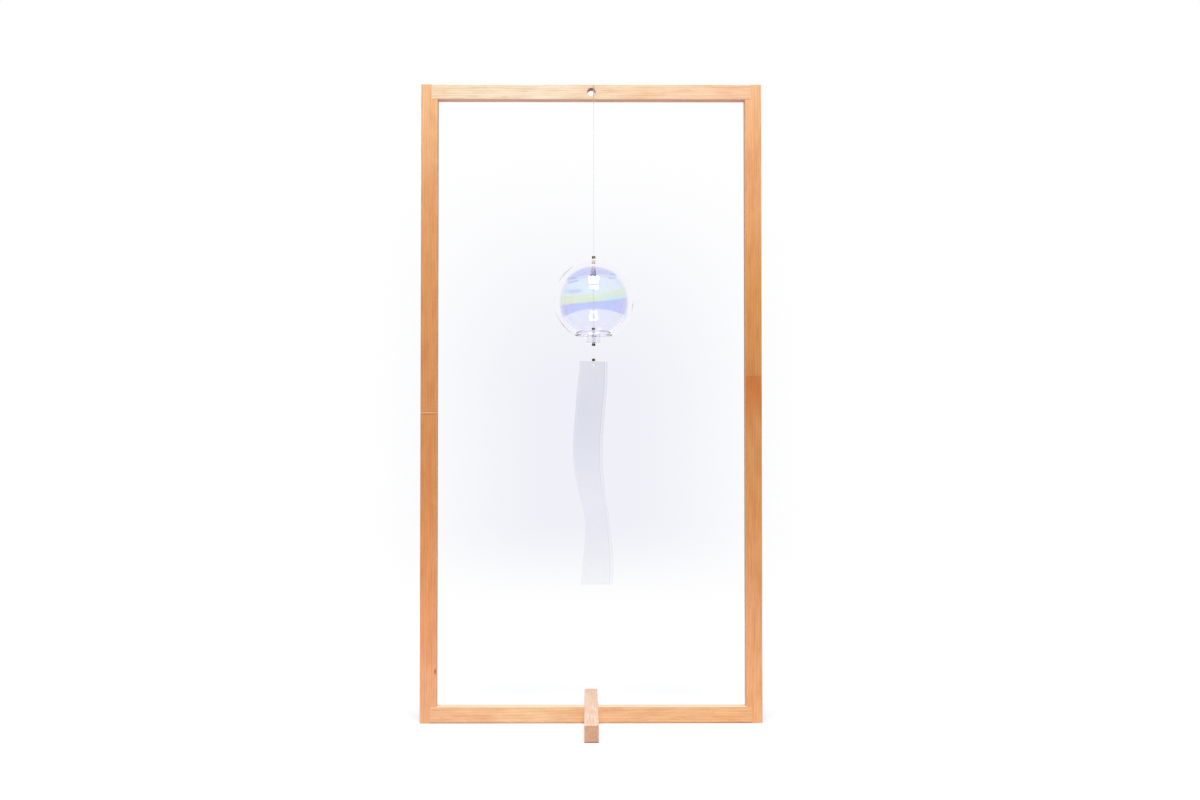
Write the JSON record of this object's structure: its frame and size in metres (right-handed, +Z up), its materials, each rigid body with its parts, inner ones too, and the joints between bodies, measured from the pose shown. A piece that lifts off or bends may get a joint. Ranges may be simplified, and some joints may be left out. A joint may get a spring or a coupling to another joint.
{
  "type": "wind bell on a stand",
  "caption": "Iridescent glass wind bell with a glass clapper and a sheer ribbon tail, hung by a nylon thread in a slim standing wooden frame with a crosswise foot.",
  "frame": {"origin": "on the surface that the stand rests on, under the middle of the frame", "axes": "+Z up; +X to the right across the frame, seen from the front; -Y towards the viewer, along the foot"},
  "size_m": [0.31, 0.26, 0.5808],
  "materials": {
    "stile_wood": "oiled, fine straight grain",
    "rail_wood": "oiled, fine straight grain",
    "foot_wood": "oiled, fine straight grain",
    "dowel_wood": "bare",
    "nylon_thread": "clear monofilament",
    "crimp_brass": "aged",
    "stopper_plastic": "grey, satin",
    "bell_glass": "clear with a blue, green and violet lustre",
    "clapper_glass": "clear",
    "tail_ribbon": "sheer ribbon"
  },
  "bodies": {
    "stand": {"left_stile_upper": "stile_wood", "left_stile_lower": "stile_wood", "right_stile_upper": "stile_wood", "right_stile_lower": "stile_wood", "top_rail": "rail_wood", "bottom_rail": "rail_wood", "foot": "foot_wood", "corner_dowels": "dowel_wood", "rail_hitch": "nylon_thread"},
    "hanger_upper": {"hanger_cord_upper": "nylon_thread"},
    "hanger": {"hanger_cord": "nylon_thread", "hanger_crimp": "crimp_brass", "crown_thread": "nylon_thread", "crown_stopper": "stopper_plastic"},
    "bell": {"glass_bell": "bell_glass"},
    "clapper": {"clapper_cord": "nylon_thread", "clapper_top_crimp": "crimp_brass", "glass_clapper": "clapper_glass", "clapper_bottom_crimp": "crimp_brass"},
    "tail_upper": {"tail_thread_upper": "nylon_thread"},
    "tail_lower": {"tail_thread_lower": "nylon_thread"},
    "tail": {"tail_crimp": "crimp_brass", "tail_loop": "nylon_thread", "tail_strip": "tail_ribbon"}
  },
  "joints": [
    {"name": "hanger_swing_front", "type": "hinge", "parent": "stand", "child": "hanger_upper", "pos_m": [0.0022, -0.00795, 0.56607], "axis": [1, 0, 0], "range_deg": [-20, 20]},
    {"name": "hanger_swing_side", "type": "hinge", "parent": "hanger_upper", "child": "hanger", "pos_m": [0.0022, -0.00795, 0.53564], "axis": [0, 1, 0], "range_deg": [-10, 10]},
    {"name": "bell_spin", "type": "hinge", "parent": "hanger", "child": "bell", "pos_m": [0.0022, -0.00795, 0.38279], "axis": [0, 0, 1], "continuous": true},
    {"name": "clapper_swing", "type": "hinge", "parent": "hanger", "child": "clapper", "pos_m": [0.0022, -0.00795, 0.40456], "axis": [1, 0, 0], "range_deg": [-6.7, 6.7]},
    {"name": "tail_swing_front", "type": "hinge", "parent": "clapper", "child": "tail_upper", "pos_m": [0.0022, -0.00795, 0.34084], "axis": [1, 0, 0], "range_deg": [-35, 35]},
    {"name": "tail_swing_side", "type": "hinge", "parent": "tail_upper", "child": "tail_lower", "pos_m": [0.0022, -0.00795, 0.33506], "axis": [0, 1, 0], "range_deg": [-10, 10]},
    {"name": "tail_turn", "type": "hinge", "parent": "tail_lower", "child": "tail", "pos_m": [0.0022, -0.00795, 0.32963], "axis": [0, 0, 1], "continuous": true}
  ]
}
